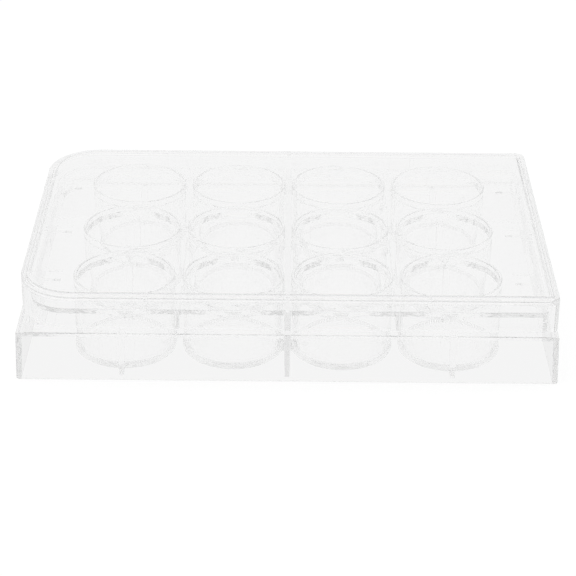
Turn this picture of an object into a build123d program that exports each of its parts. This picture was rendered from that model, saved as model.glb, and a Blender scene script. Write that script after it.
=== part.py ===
"""Twelve-well culture plate with its lid on, two clear polystyrene mouldings.

Millimetres. The origin is the centre of the footprint on the surface that the plate
stands on, +X runs along the long side and +Z is up. The keyed corners, which have the
large radius, are the two at -X.
"""

import os
from math import radians, tan

from build123d import *

# Footprint and skirt
FOOT_LENGTH = 127.76
FOOT_WIDTH = 85.48
FOOT_CORNER = 0.8
FOOT_BAND = 0.6
SKIRT_WALL = 1.25
SKIRT_DRAFT = 2.0
SKIRT_INNER_DRAFT = 2.6
LEDGE_TOP = 12.15
LEDGE_THICK = 1.2

# Tray that stands on the ledge, and the deck across its top
TRAY_LENGTH = 121.8
TRAY_WIDTH = 79.6
TRAY_KEY_CORNER = 9.5
TRAY_PLAIN_CORNER = 1.4
TRAY_WALL = 1.2
DECK_TOP = 17.6
DECK_THICK = 1.5

# Wells
COLUMNS = 4
ROWS = 3
PITCH = 26.0
WELL_TOP_RADIUS = 11.4
WELL_BASE_RADIUS = 11.05
WELL_WALL = 0.8
WELL_UNDERSIDE = 0.6
FLOOR_THICK = 1.3
FLOOR_BREAK = 0.35
RIM_TOP = 19.05
RIM_ROUND = 0.3

# Ribs under the deck
RIB_FOOT = 0.9
RIB_TOP_WIDTH = 1.6
RIB_FOOT_WIDTH = 1.05
WEB_THICK = 1.2
LAND_WIDTH = 4.0
BRIDGE_WIDTH = 5.0
GUSSET_REACH = 5.4
GUSSET_FOOT_REACH = 2.7
GUSSET_FOOT = 5.2

# Lid
LID_LENGTH = 126.2
LID_WIDTH = 84.8
LID_KEY_CORNER = 13.2
LID_PLAIN_CORNER = 2.0
LID_WALL = 1.2
LID_FOOT = 13.8
LID_TOP = 22.15
LID_PLATE = 1.2
LID_EDGE_ROUND = 0.5
LID_INNER_ROUND = 1.0
BEAD_INSET = 1.2
BEAD_WIDTH = 1.2
BEAD_HEIGHT = 0.3
BEAD_ROUND = 0.25

# Small ribs inside the lid's wall. All of them end a guide gap short of the tray's wall,
# and the rest ribs also reach in over the deck's edge and stand on it.
SMALL_RIB_WIDTH = 0.95
GUIDE_SPACING = 66.0
GUIDE_GAP = 0.25
GUIDE_FOOT = 16.8
REST_REACH = 1.3

# Rounding of the plate's outer edges
EDGE_ROUND = 0.3

deck_underside = DECK_TOP - DECK_THICK
ledge_underside = LEDGE_TOP - LEDGE_THICK
floor_top = WELL_UNDERSIDE + FLOOR_THICK
lid_underside = LID_TOP - LID_PLATE
skirt_middle_x, skirt_middle_y = (
    (size - SKIRT_WALL) / 2 - ledge_underside * tan(radians(SKIRT_DRAFT))
    for size in (FOOT_LENGTH, FOOT_WIDTH)
)
tray_inner_x = TRAY_LENGTH / 2 - TRAY_WALL
tray_inner_y = TRAY_WIDTH / 2 - TRAY_WALL
wells = GridLocations(PITCH, PITCH, COLUMNS, ROWS)


def keyed_outline(length, width, key_corner, plain_corner, inset=0.0):
    """Rectangle with the large radius at -X and the small one at +X, moved in by inset.

    A corner whose radius is smaller than the inset is left sharp."""
    outline = Rectangle(length - 2 * inset, width - 2 * inset)
    outline = fillet(outline.vertices().group_by(Axis.X)[0], key_corner - inset)
    if plain_corner > inset:
        outline = fillet(outline.vertices().group_by(Axis.X)[-1], plain_corner - inset)
    return outline


def tray_outline(inset=0.0):
    return keyed_outline(TRAY_LENGTH, TRAY_WIDTH, TRAY_KEY_CORNER, TRAY_PLAIN_CORNER, inset)


def lid_outline(inset=0.0):
    return keyed_outline(LID_LENGTH, LID_WIDTH, LID_KEY_CORNER, LID_PLAIN_CORNER, inset)


def prism(outline, low, high):
    """The outline carried up from height low to height high."""
    return Pos(0, 0, low) * extrude(outline, high - low)


def block(x, y, z):
    """Box between two values along each axis."""
    return Pos((x[0] + x[1]) / 2, (y[0] + y[1]) / 2, (z[0] + z[1]) / 2) * Box(
        x[1] - x[0], y[1] - y[0], z[1] - z[0]
    )


def round_top(solid, radius):
    """Rounds the edges of the highest flat face."""
    return fillet(solid.edges().group_by(Axis.Z)[-1], radius)


def round_foot(solid, radius):
    """Rounds the edges of the lowest flat face."""
    return fillet(solid.edges().group_by(Axis.Z)[0], radius)


def skirt():
    """Skirt and ledge, drawn in above an upright band at the foot, its inner corners sharp."""
    outside = RectangleRounded(FOOT_LENGTH, FOOT_WIDTH, FOOT_CORNER)
    inside = Rectangle(FOOT_LENGTH - 2 * SKIRT_WALL, FOOT_WIDTH - 2 * SKIRT_WALL)
    band = round_foot(extrude(outside, FOOT_BAND), EDGE_ROUND)
    rise = Pos(0, 0, FOOT_BAND) * extrude(outside, LEDGE_TOP - FOOT_BAND, taper=SKIRT_DRAFT)
    hollow = extrude(inside, ledge_underside, taper=SKIRT_INNER_DRAFT)
    return band + round_top(rise, EDGE_ROUND) - hollow


def shell():
    """Skirt, ledge and tray as one wall, open underneath."""
    tray = round_top(prism(tray_outline(), ledge_underside, DECK_TOP), EDGE_ROUND)
    tray_hollow = prism(tray_outline(TRAY_WALL), ledge_underside - 1, deck_underside)
    return skirt() + tray - tray_hollow


def well():
    """One well and its cavity: the wall draws in slightly downwards, and its rim stands
    above the deck, rounded on both edges."""
    low, high = WELL_BASE_RADIUS + WELL_WALL, WELL_TOP_RADIUS + WELL_WALL
    side = Polygon(
        (0, WELL_UNDERSIDE), (low, WELL_UNDERSIDE), (high, RIM_TOP), (0, RIM_TOP), align=None
    )
    side = chamfer(side.vertices().sort_by_distance((low, WELL_UNDERSIDE, 0))[0], FLOOR_BREAK)
    side = fillet(side.vertices().sort_by_distance((high, RIM_TOP, 0))[0], RIM_ROUND)
    rim = CenterArc((WELL_TOP_RADIUS + RIM_ROUND, RIM_TOP - RIM_ROUND), RIM_ROUND, 90, 90)
    inside = Polyline(
        rim @ 0,
        (0, RIM_TOP),
        (0, floor_top),
        (WELL_BASE_RADIUS - FLOOR_BREAK, floor_top),
        (WELL_BASE_RADIUS, floor_top + FLOOR_BREAK),
        rim @ 1,
    )
    return revolve(Plane.XZ * side, Axis.Z), revolve(Plane.XZ * make_face(inside + rim), Axis.Z)


def rib(x):
    """Deep rib across the whole width, from the deck down past the ledge, thinner at its foot."""
    side = Polygon(
        (-RIB_FOOT_WIDTH / 2, RIB_FOOT),
        (RIB_FOOT_WIDTH / 2, RIB_FOOT),
        (RIB_TOP_WIDTH / 2, ledge_underside),
        (-RIB_TOP_WIDTH / 2, ledge_underside),
        align=None,
    )
    lower = Pos(x, 0, 0) * extrude(Plane.XZ * side, skirt_middle_y, both=True)
    half = RIB_TOP_WIDTH / 2
    inner = tray_inner_y + TRAY_WALL / 2
    upper = block((x - half, x + half), (-inner, inner), (ledge_underside, DECK_TOP - DECK_THICK / 2))
    return lower + upper


def shallow_web(x):
    """Web between two columns of wells, only as deep as the tray."""
    inner = tray_inner_y + TRAY_WALL / 2
    half = WEB_THICK / 2
    return block((x - half, x + half), (-inner, inner), (LEDGE_TOP, DECK_TOP - DECK_THICK / 2))


def lands():
    """Where an outer well comes closest to the tray's long wall, the two run together."""
    first = PITCH * (ROWS - 1) / 2 + WELL_BASE_RADIUS
    last = tray_inner_y + TRAY_WALL / 2
    half = LAND_WIDTH / 2
    for spot in GridLocations(PITCH, 1, COLUMNS, 1):
        x = spot.position.X
        for y in ((first, last), (-last, -first)):
            yield block((x - half, x + half), y, (LEDGE_TOP - LEDGE_THICK / 2, deck_underside + 0.1))


def bridges():
    """Short bridges where two wells of one row come closest to each other."""
    reach = PITCH / 2 - WELL_BASE_RADIUS
    half = BRIDGE_WIDTH / 2
    for spot in GridLocations(PITCH, PITCH, COLUMNS - 1, ROWS):
        x, y = spot.position.X, spot.position.Y
        low = RIB_FOOT if x == 0 else LEDGE_TOP
        yield block((x - reach, x + reach), (y - half, y + half), (low, deck_underside + 0.1))


def gusset(side, y):
    """Tapered gusset under the deck and the ledge at a short wall, one per row of wells."""
    wall = tray_inner_x + TRAY_WALL / 2
    profile = Polygon(
        (side * skirt_middle_x, GUSSET_FOOT),
        (side * skirt_middle_x, ledge_underside + 0.1),
        (side * wall, ledge_underside + 0.1),
        (side * wall, deck_underside + 0.1),
        (side * (tray_inner_x - GUSSET_REACH), deck_underside + 0.1),
        (side * (tray_inner_x - GUSSET_FOOT_REACH), GUSSET_FOOT),
        align=None,
    )
    return Pos(0, y, 0) * extrude(Plane.XZ * profile, WEB_THICK / 2, both=True)


def plate():
    """The lower moulding: skirt, tray, deck, ribs and twelve open wells."""
    body = shell()
    outer_column = PITCH * (COLUMNS - 1) / 2
    parts = [rib(x) for x in (-outer_column, 0, outer_column)]
    parts += [shallow_web(x) for x in (-PITCH, PITCH)]
    parts += [*lands(), *bridges()]
    parts += [gusset(side, y * PITCH) for side in (-1, 1) for y in (-1, 0, 1)]
    outside, inside = well()
    return body + parts + wells * outside - wells * inside


def bead():
    """Low bead round the lid's top, which keeps a plate stacked on it from sliding."""
    ring = lid_outline(BEAD_INSET) - lid_outline(BEAD_INSET + BEAD_WIDTH)
    return round_top(prism(ring, LID_TOP - LID_PLATE / 2, LID_TOP + BEAD_HEIGHT), BEAD_ROUND)


def guide_rib(from_wall, to_tray):
    """Rib on the lid's wall at -Y, which keeps the lid centred on the tray."""
    half = SMALL_RIB_WIDTH / 2
    reach = (from_wall + LID_WALL / 2, to_tray - GUIDE_GAP)
    return block((-half, half), reach, (GUIDE_FOOT, LID_TOP - LID_PLATE / 2))


def rest_rib(from_wall, to_tray):
    """Guide rib whose upper part goes further in over the deck and stands on it."""
    half = SMALL_RIB_WIDTH / 2
    reach = (from_wall + LID_WALL / 2, to_tray + REST_REACH)
    foot = block((-half, half), reach, (DECK_TOP, LID_TOP - LID_PLATE / 2))
    return guide_rib(from_wall, to_tray) + foot


def small_ribs():
    """Two guide ribs on each long wall, and a rest rib in the middle of every wall."""
    across = (-LID_WIDTH / 2, -TRAY_WIDTH / 2)
    along = (-LID_LENGTH / 2, -TRAY_LENGTH / 2)
    for turn in (0, 180):
        for x in (-GUIDE_SPACING / 2, GUIDE_SPACING / 2):
            yield Rot(0, 0, turn) * Pos(x, 0, 0) * guide_rib(*across)
        yield Rot(0, 0, turn) * rest_rib(*across)
        yield Rot(0, 0, turn + 90) * rest_rib(*along)


def lid():
    """The upper moulding: a plate with a wall all round, and the small ribs it rests on."""
    outside = round_top(prism(lid_outline(), LID_FOOT, LID_TOP), LID_EDGE_ROUND)
    inside = prism(lid_outline(LID_WALL), LID_FOOT - 1, lid_underside)
    inside = round_top(inside, LID_INNER_ROUND)
    return outside - inside + bead() + [*small_ribs()]


os.makedirs("parts", exist_ok=True)
for name, solid in (("plate", plate()), ("lid", lid())):
    export_step(solid, f"parts/{name}.step")
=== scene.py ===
"""Looks of a twelve-well culture plate with its lid on: clear moulded polystyrene on a white floor.

Metres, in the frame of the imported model: +X along the long side, -Y towards the camera, +Z up,
origin at the centre of the footprint.
"""

import bpy
import numpy as np
from mathutils import Matrix, Vector


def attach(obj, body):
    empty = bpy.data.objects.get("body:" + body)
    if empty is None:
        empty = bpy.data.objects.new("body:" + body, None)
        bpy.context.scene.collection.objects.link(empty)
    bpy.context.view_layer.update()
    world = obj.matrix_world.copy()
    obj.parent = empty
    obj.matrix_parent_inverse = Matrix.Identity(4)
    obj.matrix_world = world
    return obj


MM = 0.001
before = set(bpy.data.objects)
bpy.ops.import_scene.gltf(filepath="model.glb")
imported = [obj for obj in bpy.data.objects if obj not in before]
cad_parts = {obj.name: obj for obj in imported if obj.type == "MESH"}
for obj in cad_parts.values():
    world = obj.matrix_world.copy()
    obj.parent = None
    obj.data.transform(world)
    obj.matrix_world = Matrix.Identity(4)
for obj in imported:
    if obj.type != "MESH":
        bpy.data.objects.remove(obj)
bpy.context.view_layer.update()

# Camera
CAMERA_AIM = (0.06 * MM, 0.0, 2.61 * MM)
CAMERA_DISTANCE = 496.95 * MM
CAMERA_YAW = -0.0005
CAMERA_PITCH = 0.482
CAMERA_ROLL = 0.0098
CAMERA_LENS = 122.01
SENSOR_WIDTH = 36.0
NEAR_CLIP = 0.01

# Mouldings
REFRACTION = 1.59
PLATE_ABSORPTION = 1.8
LID_ABSORPTION = 1.2
FINISH_ROUGHNESS = 0.02
HAZE_SCALE = 240.0
HAZE_DETAIL = 4.0
FLOW_SCALE = 90.0
FLOW_DETAIL = 2.0
FLOW_STRENGTH = 0.04
FLOW_DEPTH = 0.2 * MM
SMOOTH_ANGLE = np.radians(50)
WELD_GAP = 0.002 * MM
SKIN_GAP = 0.002 * MM
FLAT_WEIGHT = 50
FLAT_THRESHOLD = 0.01

# Wells and the fine serrations round the foot of each
PITCH = 26.0 * MM
COLUMNS = 4
ROWS = 3
KNURL_TEETH = 140
KNURL_INNER_RADIUS = 11.95 * MM
KNURL_THICK = 0.12 * MM
KNURL_DEPTH = 0.16 * MM
KNURL_LOW = 1.1 * MM
KNURL_HIGH = 2.7 * MM
KNURL_ROUND = 0.25 * MM
KNURL_FOOT_INSET = KNURL_ROUND / 4
KNURL_ROUGHNESS = 0.06
# Painted shade: the knurl's valleys are painted greyer than its crests, in place of the shade that
# falls between the teeth.
CREST_UNSHADED = 1.0
VALLEY_PAINTED_SHADE = 0.98

# Studio
FLOOR_SIZE = 6.0
FLOOR_DROP = 0.05 * MM
FLOOR_PAPER = 0.9
FLOOR_GLOW = 0.93
THROUGH_FLOOR = 0.915
MIRRORED_FLOOR = 0.82
ROOM = 1.0
SWEEP = 0.93
SWEEP_TURN = 2.0
SWEEP_RISE = 3.0
LIGHT = 0.6
BOUNCES = 300


class Value:
    """A number in a material: Python arithmetic on it adds Math nodes."""

    def __init__(self, graph, socket):
        self.graph = graph
        self.socket = socket

    def _math(self, operation, *terms):
        return Value(self.graph, self.graph.node("Math", {"operation": operation}, terms)[0])

    def __add__(self, other):
        return self._math("ADD", self, other)

    def __radd__(self, other):
        return self._math("ADD", other, self)

    def __mul__(self, other):
        return self._math("MULTIPLY", self, other)

    def __rmul__(self, other):
        return self._math("MULTIPLY", other, self)

    def at_least(self, other):
        return self._math("MAXIMUM", self, other)

    def clipped(self):
        """The number, kept between 0 and 1."""
        return self._math("MINIMUM", self.at_least(0.0), 1.0)


class Graph:
    """Node tree of a material or of the world, emptied first."""

    def __init__(self, owner):
        owner.use_nodes = True
        self.tree = owner.node_tree
        self.tree.nodes.clear()

    def node(self, kind, settings=(), inputs=()):
        """Adds a ShaderNode of that kind, sets its settings, then its sockets by name or in order.

        Returns the node's outputs."""
        node = self.tree.nodes.new("ShaderNode" + kind)
        for name, setting in dict(settings).items():
            setattr(node, name, setting)
        pairs = inputs.items() if isinstance(inputs, dict) else enumerate(inputs)
        for key, value in pairs:
            socket = node.inputs[key]
            if isinstance(value, Value):
                self.tree.links.new(value.socket, socket)
            elif isinstance(value, bpy.types.NodeSocket):
                self.tree.links.new(value, socket)
            else:
                socket.default_value = value
        return node.outputs

    def value(self, outputs, name=0):
        return Value(self, outputs[name])

    def surface(self, shader, kind="Material"):
        self.node("Output" + kind, inputs={"Surface": shader})


def clear_polystyrene(name, absorption):
    """Polished clear moulding: faint flow waves, and a roughness that drifts a little."""
    material = bpy.data.materials.new(name)
    graph = Graph(material)
    place = graph.node("TexCoord")["Object"]
    flow = {"Vector": place, "Scale": FLOW_SCALE, "Detail": FLOW_DETAIL}
    waves = graph.node("TexNoise", inputs=flow)
    drift = {"Vector": place, "Scale": HAZE_SCALE, "Detail": HAZE_DETAIL}
    haze = graph.node("TexNoise", inputs=drift)
    bump = graph.node(
        "Bump", inputs={"Strength": FLOW_STRENGTH, "Distance": FLOW_DEPTH, "Height": waves[0]}
    )
    shader = graph.node(
        "BsdfPrincipled",
        inputs={
            "Base Color": (1, 1, 1, 1),
            "Roughness": graph.value(haze) * FINISH_ROUGHNESS + FINISH_ROUGHNESS / 2,
            "IOR": REFRACTION,
            "Transmission Weight": 1.0,
            "Normal": bump[0],
        },
    )
    depth = graph.node("VolumeAbsorption", inputs={"Color": (0, 0, 0, 1), "Density": absorption})
    graph.node("OutputMaterial", inputs={"Surface": shader[0], "Volume": depth[0]})
    return material


def frosted_polystyrene_painted_shade(name):
    """The same plastic with a frosted skin, and painted shade: the valleys between the teeth are
    painted a little greyer than the crests.
    """
    material = bpy.data.materials.new(name)
    graph = Graph(material)
    crest = graph.value(graph.node("Attribute", {"attribute_name": "crest"}), "Fac")
    # Painted shade: the base colour runs from the crest level down to a greyer level in the
    # valleys.
    level = crest * (CREST_UNSHADED - VALLEY_PAINTED_SHADE) + VALLEY_PAINTED_SHADE
    shade = graph.node("CombineColor", inputs=[level, level, level])
    shader = graph.node(
        "BsdfPrincipled",
        inputs={
            "Base Color": shade[0],
            "Roughness": KNURL_ROUGHNESS,
            "IOR": REFRACTION,
            "Transmission Weight": 1.0,
        },
    )
    graph.surface(shader[0])
    return material


def smooth_moulding(node, material):
    """Joins the node's loose triangles, shades its roundings smooth and its flats flat.

    The skin goes in by two thousandths of a millimetre, so that a sliver of air is left where
    the lid stands on the plate."""
    node.data.materials.clear()
    node.data.materials.append(material)
    node.data.polygons.foreach_set("use_smooth", np.ones(len(node.data.polygons), bool))
    weld = node.modifiers.new("join", "WELD")
    weld.merge_threshold = WELD_GAP
    skin = node.modifiers.new("skin", "DISPLACE")
    skin.mid_level = 0.0
    skin.strength = -SKIN_GAP
    split = node.modifiers.new("corners", "EDGE_SPLIT")
    split.split_angle = SMOOTH_ANGLE
    split.use_edge_sharp = False
    flats = node.modifiers.new("flats", "WEIGHTED_NORMAL")
    flats.mode = "FACE_AREA"
    flats.weight = FLAT_WEIGHT
    flats.thresh = FLAT_THRESHOLD


def new_piece(name, points, faces):
    """Mesh object of those points and faces, put into the scene."""
    mesh = bpy.data.meshes.new(name)
    mesh.from_pydata(points, [], faces)
    mesh.update()
    piece = bpy.data.objects.new(name, mesh)
    bpy.context.scene.collection.objects.link(piece)
    return piece


def grid_mesh(name, points):
    """Closed mesh from points[i, j]: the grid joins up with itself along both parameters."""
    rows, columns = points.shape[:2]
    i, j = np.meshgrid(np.arange(rows), np.arange(columns), indexing="ij")
    down, along = (i + 1) % rows, (j + 1) % columns
    here, below = i * columns, down * columns
    quads = np.stack([here + j, below + j, below + along, here + along], -1)
    return new_piece(name, points.reshape(-1, 3), quads.reshape(-1, 4))


def foot_knurl(name, centre, material):
    """Serrated band round a well's foot.

    A closed profile is carried round the well. At angle a the outer radius is the inner one plus
    the band's thickness plus the depth times a triangle wave of the angle, one crest a tooth. The
    attribute crest is 1 on the crests and 0 in the valleys."""
    crest = np.arange(2 * KNURL_TEETH) % 2
    angle = np.arange(2 * KNURL_TEETH) * np.pi / KNURL_TEETH
    outer = KNURL_INNER_RADIUS + KNURL_THICK + KNURL_DEPTH * crest
    inner = np.full_like(outer, KNURL_INNER_RADIUS)
    radius = np.stack([inner, outer - KNURL_FOOT_INSET, outer, outer, inner], 1)
    straight = (KNURL_LOW + KNURL_ROUND, KNURL_HIGH - KNURL_ROUND)
    height = np.array([KNURL_LOW, KNURL_LOW, *straight, KNURL_HIGH])
    points = np.empty((*radius.shape, 3))
    points[..., 0] = centre[0] + radius * np.cos(angle)[:, None]
    points[..., 1] = centre[1] + radius * np.sin(angle)[:, None]
    points[..., 2] = height
    piece = grid_mesh(name, points)
    piece.data.attributes.new("crest", "FLOAT", "POINT").data.foreach_set(
        "value", np.repeat(crest, radius.shape[1]).astype(np.float32)
    )
    piece.data.materials.append(material)
    return piece


def grey(level):
    """Grey of that level, as a colour with full alpha."""
    return (level, level, level, 1)


def seen(graph):
    """Three masks: looked at directly, mirrored in the mouldings, and looked at through them."""
    path = graph.node("LightPath")
    return [graph.value(path, f"Is {kind} Ray") for kind in ("Camera", "Glossy", "Transmission")]


def studio_floor():
    """White floor, which keeps part of the shadow where it is looked at directly, and glows evenly
    in and through the mouldings."""
    half = FLOOR_SIZE / 2
    corners = np.array([[-half, -half], [half, -half], [half, half], [-half, half]])
    floor = new_piece("floor", np.c_[corners, np.full(4, -FLOOR_DROP)], [(0, 1, 2, 3)])
    material = bpy.data.materials.new("white_floor")
    graph = Graph(material)
    direct, mirrored, through = seen(graph)
    shader = graph.node("BsdfDiffuse", inputs={"Color": grey(FLOOR_PAPER)})[0]
    shown = [(direct * FLOOR_GLOW, 1.0), (mirrored, MIRRORED_FLOOR), (through, THROUGH_FLOOR)]
    for mask, level in shown:
        glow = graph.node("Emission", inputs={"Color": grey(level), "Strength": 1.0})
        shader = graph.node("MixShader", inputs=[mask, shader, glow[0]])[0]
    graph.surface(shader)
    floor.data.materials.append(material)


def studio_world():
    """White where it is looked at, and for the mouldings a white room with a slightly greyer sweep
    behind them."""
    world = bpy.data.worlds.new("studio")
    bpy.context.scene.world = world
    graph = Graph(world)
    direct, mirrored, through = seen(graph)
    way = graph.node("SeparateXYZ", inputs=[graph.node("TexCoord")["Generated"]])
    depth, height = graph.value(way, "Y"), graph.value(way, "Z")
    behind = (depth * SWEEP_TURN).clipped() * (height * SWEEP_RISE).clipped()
    level = behind * (SWEEP - ROOM) + ROOM
    tent = graph.node("CombineColor", inputs=[level, level, level])[0]
    shader = graph.node("Background", inputs={"Color": grey(LIGHT), "Strength": 1.0})[0]
    for mask, colour in ((direct, grey(1.0)), (mirrored.at_least(through), tent)):
        shown = graph.node("Background", inputs={"Color": colour, "Strength": 1.0})
        shader = graph.node("MixShader", inputs=[mask, shader, shown[0]])[0]
    graph.surface(shader, "World")


def softbox(name, place, aim, size, power):
    """Rectangular lamp at a place, turned towards a point."""
    lamp = bpy.data.lights.new(name, "AREA")
    lamp.shape = "RECTANGLE"
    lamp.size, lamp.size_y = size
    lamp.energy = power
    box = bpy.data.objects.new(name, lamp)
    box.visible_glossy = box.visible_transmission = False
    box.location = place
    box.rotation_euler = (Vector(aim) - Vector(place)).to_track_quat("-Z", "Y").to_euler()
    bpy.context.scene.collection.objects.link(box)


def camera():
    """Looks at the aim from the front and above, rolled by a fraction of a degree."""
    turn = Matrix.Rotation(CAMERA_YAW, 3, "Z") @ Matrix.Rotation(np.pi / 2 - CAMERA_PITCH, 3, "X")
    turn = turn @ Matrix.Rotation(CAMERA_ROLL, 3, "Z")
    lens = bpy.data.cameras.new("camera")
    lens.lens = CAMERA_LENS
    lens.sensor_width = SENSOR_WIDTH
    lens.clip_start = NEAR_CLIP
    eye = bpy.data.objects.new("camera", lens)
    back = turn @ Vector((0, 0, 1))
    stand = Vector(CAMERA_AIM) + back * CAMERA_DISTANCE
    eye.matrix_world = Matrix.Translation(stand) @ turn.to_4x4()
    bpy.context.scene.collection.objects.link(eye)
    bpy.context.scene.camera = eye


scene = bpy.context.scene
scene.view_settings.view_transform = "Standard"
scene.cycles.max_bounces = BOUNCES
scene.cycles.transmission_bounces = BOUNCES
scene.cycles.glossy_bounces = BOUNCES

plate_clear = clear_polystyrene("clear_polystyrene_plate", PLATE_ABSORPTION)
lid_clear = clear_polystyrene("clear_polystyrene_lid", LID_ABSORPTION)
smooth_moulding(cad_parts["plate"], plate_clear)
smooth_moulding(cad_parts["lid"], lid_clear)

knurl_clear = frosted_polystyrene_painted_shade("frosted_polystyrene_knurl")
for row in range(ROWS):
    for column in range(COLUMNS):
        centre = ((column - (COLUMNS - 1) / 2) * PITCH, (row - (ROWS - 1) / 2) * PITCH)
        knurl = foot_knurl(f"foot_knurl_{row + 1}_{column + 1}", centre, knurl_clear)
        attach(knurl, "root")

studio_floor()
studio_world()
softbox("overhead", place=(0.0, 0.1, 0.9), aim=(0, 0, 0), size=(1.0, 0.8), power=9.0)
softbox("left_side", place=(-0.8, -0.3, 0.5), aim=(0, 0, 0), size=(0.6, 0.6), power=4.0)
camera()
